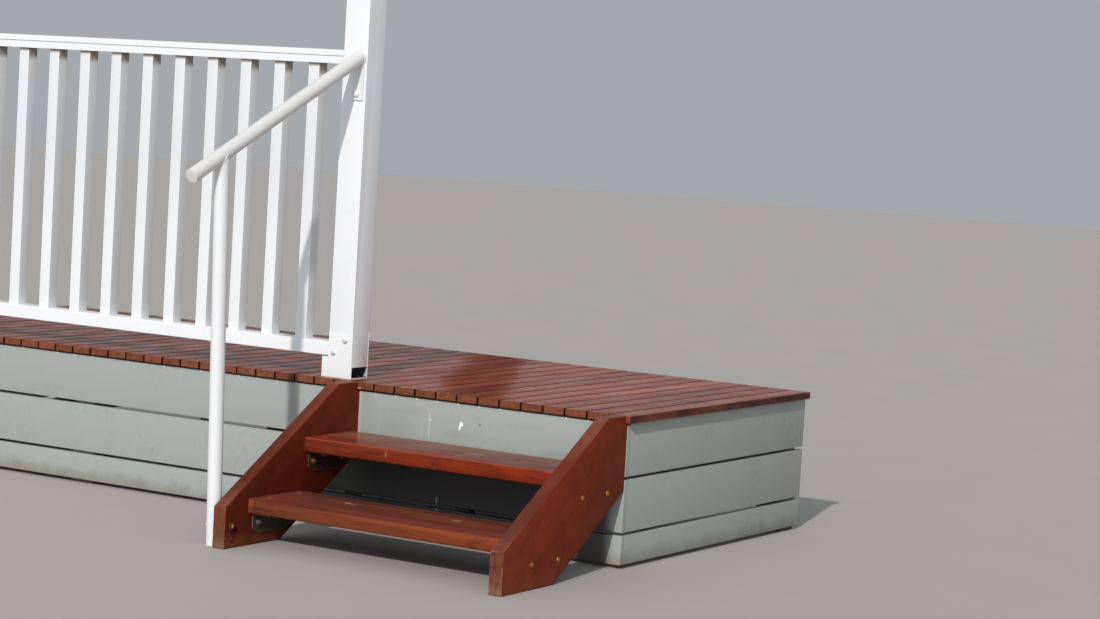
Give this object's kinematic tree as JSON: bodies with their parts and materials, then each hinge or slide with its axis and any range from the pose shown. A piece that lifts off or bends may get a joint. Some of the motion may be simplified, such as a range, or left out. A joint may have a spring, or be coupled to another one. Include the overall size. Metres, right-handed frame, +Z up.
{
  "type": "timber deck stairs",
  "caption": "Timber stair between closed stringers up to a deck edge, with a round steel handrail, a veranda post and a bay of white balustrade.",
  "frame": {"origin": "on the ground, under the middle of the whole model's length and depth", "axes": "+X along the deck edge, to the right for someone who climbs the stairs; +Y from the path towards the house; +Z up"},
  "size_m": [3.1246, 1.8654, 2.542],
  "materials": {
    "stringer_timber": "oiled dark red hardwood",
    "tread_timber": "oiled red hardwood, worn along the middle",
    "deck_timber": "oiled red hardwood decking",
    "front_paint": "grey-green house paint on board",
    "frame_timber": "rough sawn treated softwood",
    "stump_timber": "rough sawn hardwood",
    "white_timber": "white semi-gloss paint on timber",
    "tube_paint": "off-white paint on steel tube",
    "stirrup_steel": "white paint on steel",
    "bracket_steel": "dull galvanised steel"
  },
  "bodies": {
    "root": {"left_stringer": "stringer_timber", "right_stringer": "stringer_timber", "lower_tread": "tread_timber", "upper_tread": "tread_timber", "lower_left_bracket": "bracket_steel", "lower_right_bracket": "bracket_steel", "upper_left_bracket": "bracket_steel", "upper_right_bracket": "bracket_steel", "fascia_board": "front_paint", "middle_base_board": "front_paint", "bottom_base_board": "front_paint", "left_end_boards": "front_paint", "right_end_boards": "front_paint", "left_batten": "frame_timber", "middle_batten": "frame_timber", "flight_batten": "frame_timber", "landing_boards": "deck_timber", "veranda_boards": "deck_timber", "front_joist": "frame_timber", "second_joist": "frame_timber", "third_joist": "frame_timber", "rear_joist": "frame_timber", "left_bearer": "frame_timber", "middle_bearer": "frame_timber", "post_bearer": "frame_timber", "right_bearer": "frame_timber", "left_front_stump": "stump_timber", "left_rear_stump": "stump_timber", "middle_front_stump": "stump_timber", "middle_rear_stump": "stump_timber", "post_front_stump": "stump_timber", "post_rear_stump": "stump_timber", "right_front_stump": "stump_timber", "right_rear_stump": "stump_timber", "stair_post": "white_timber", "end_post": "white_timber", "stair_post_stirrup": "stirrup_steel", "end_post_stirrup": "stirrup_steel", "top_rail": "white_timber", "bottom_rail": "white_timber", "balusters": "white_timber", "handrail": "tube_paint", "handrail_cap": "tube_paint", "handrail_plate": "tube_paint", "handrail_post": "tube_paint"}
  },
  "joints": []
}
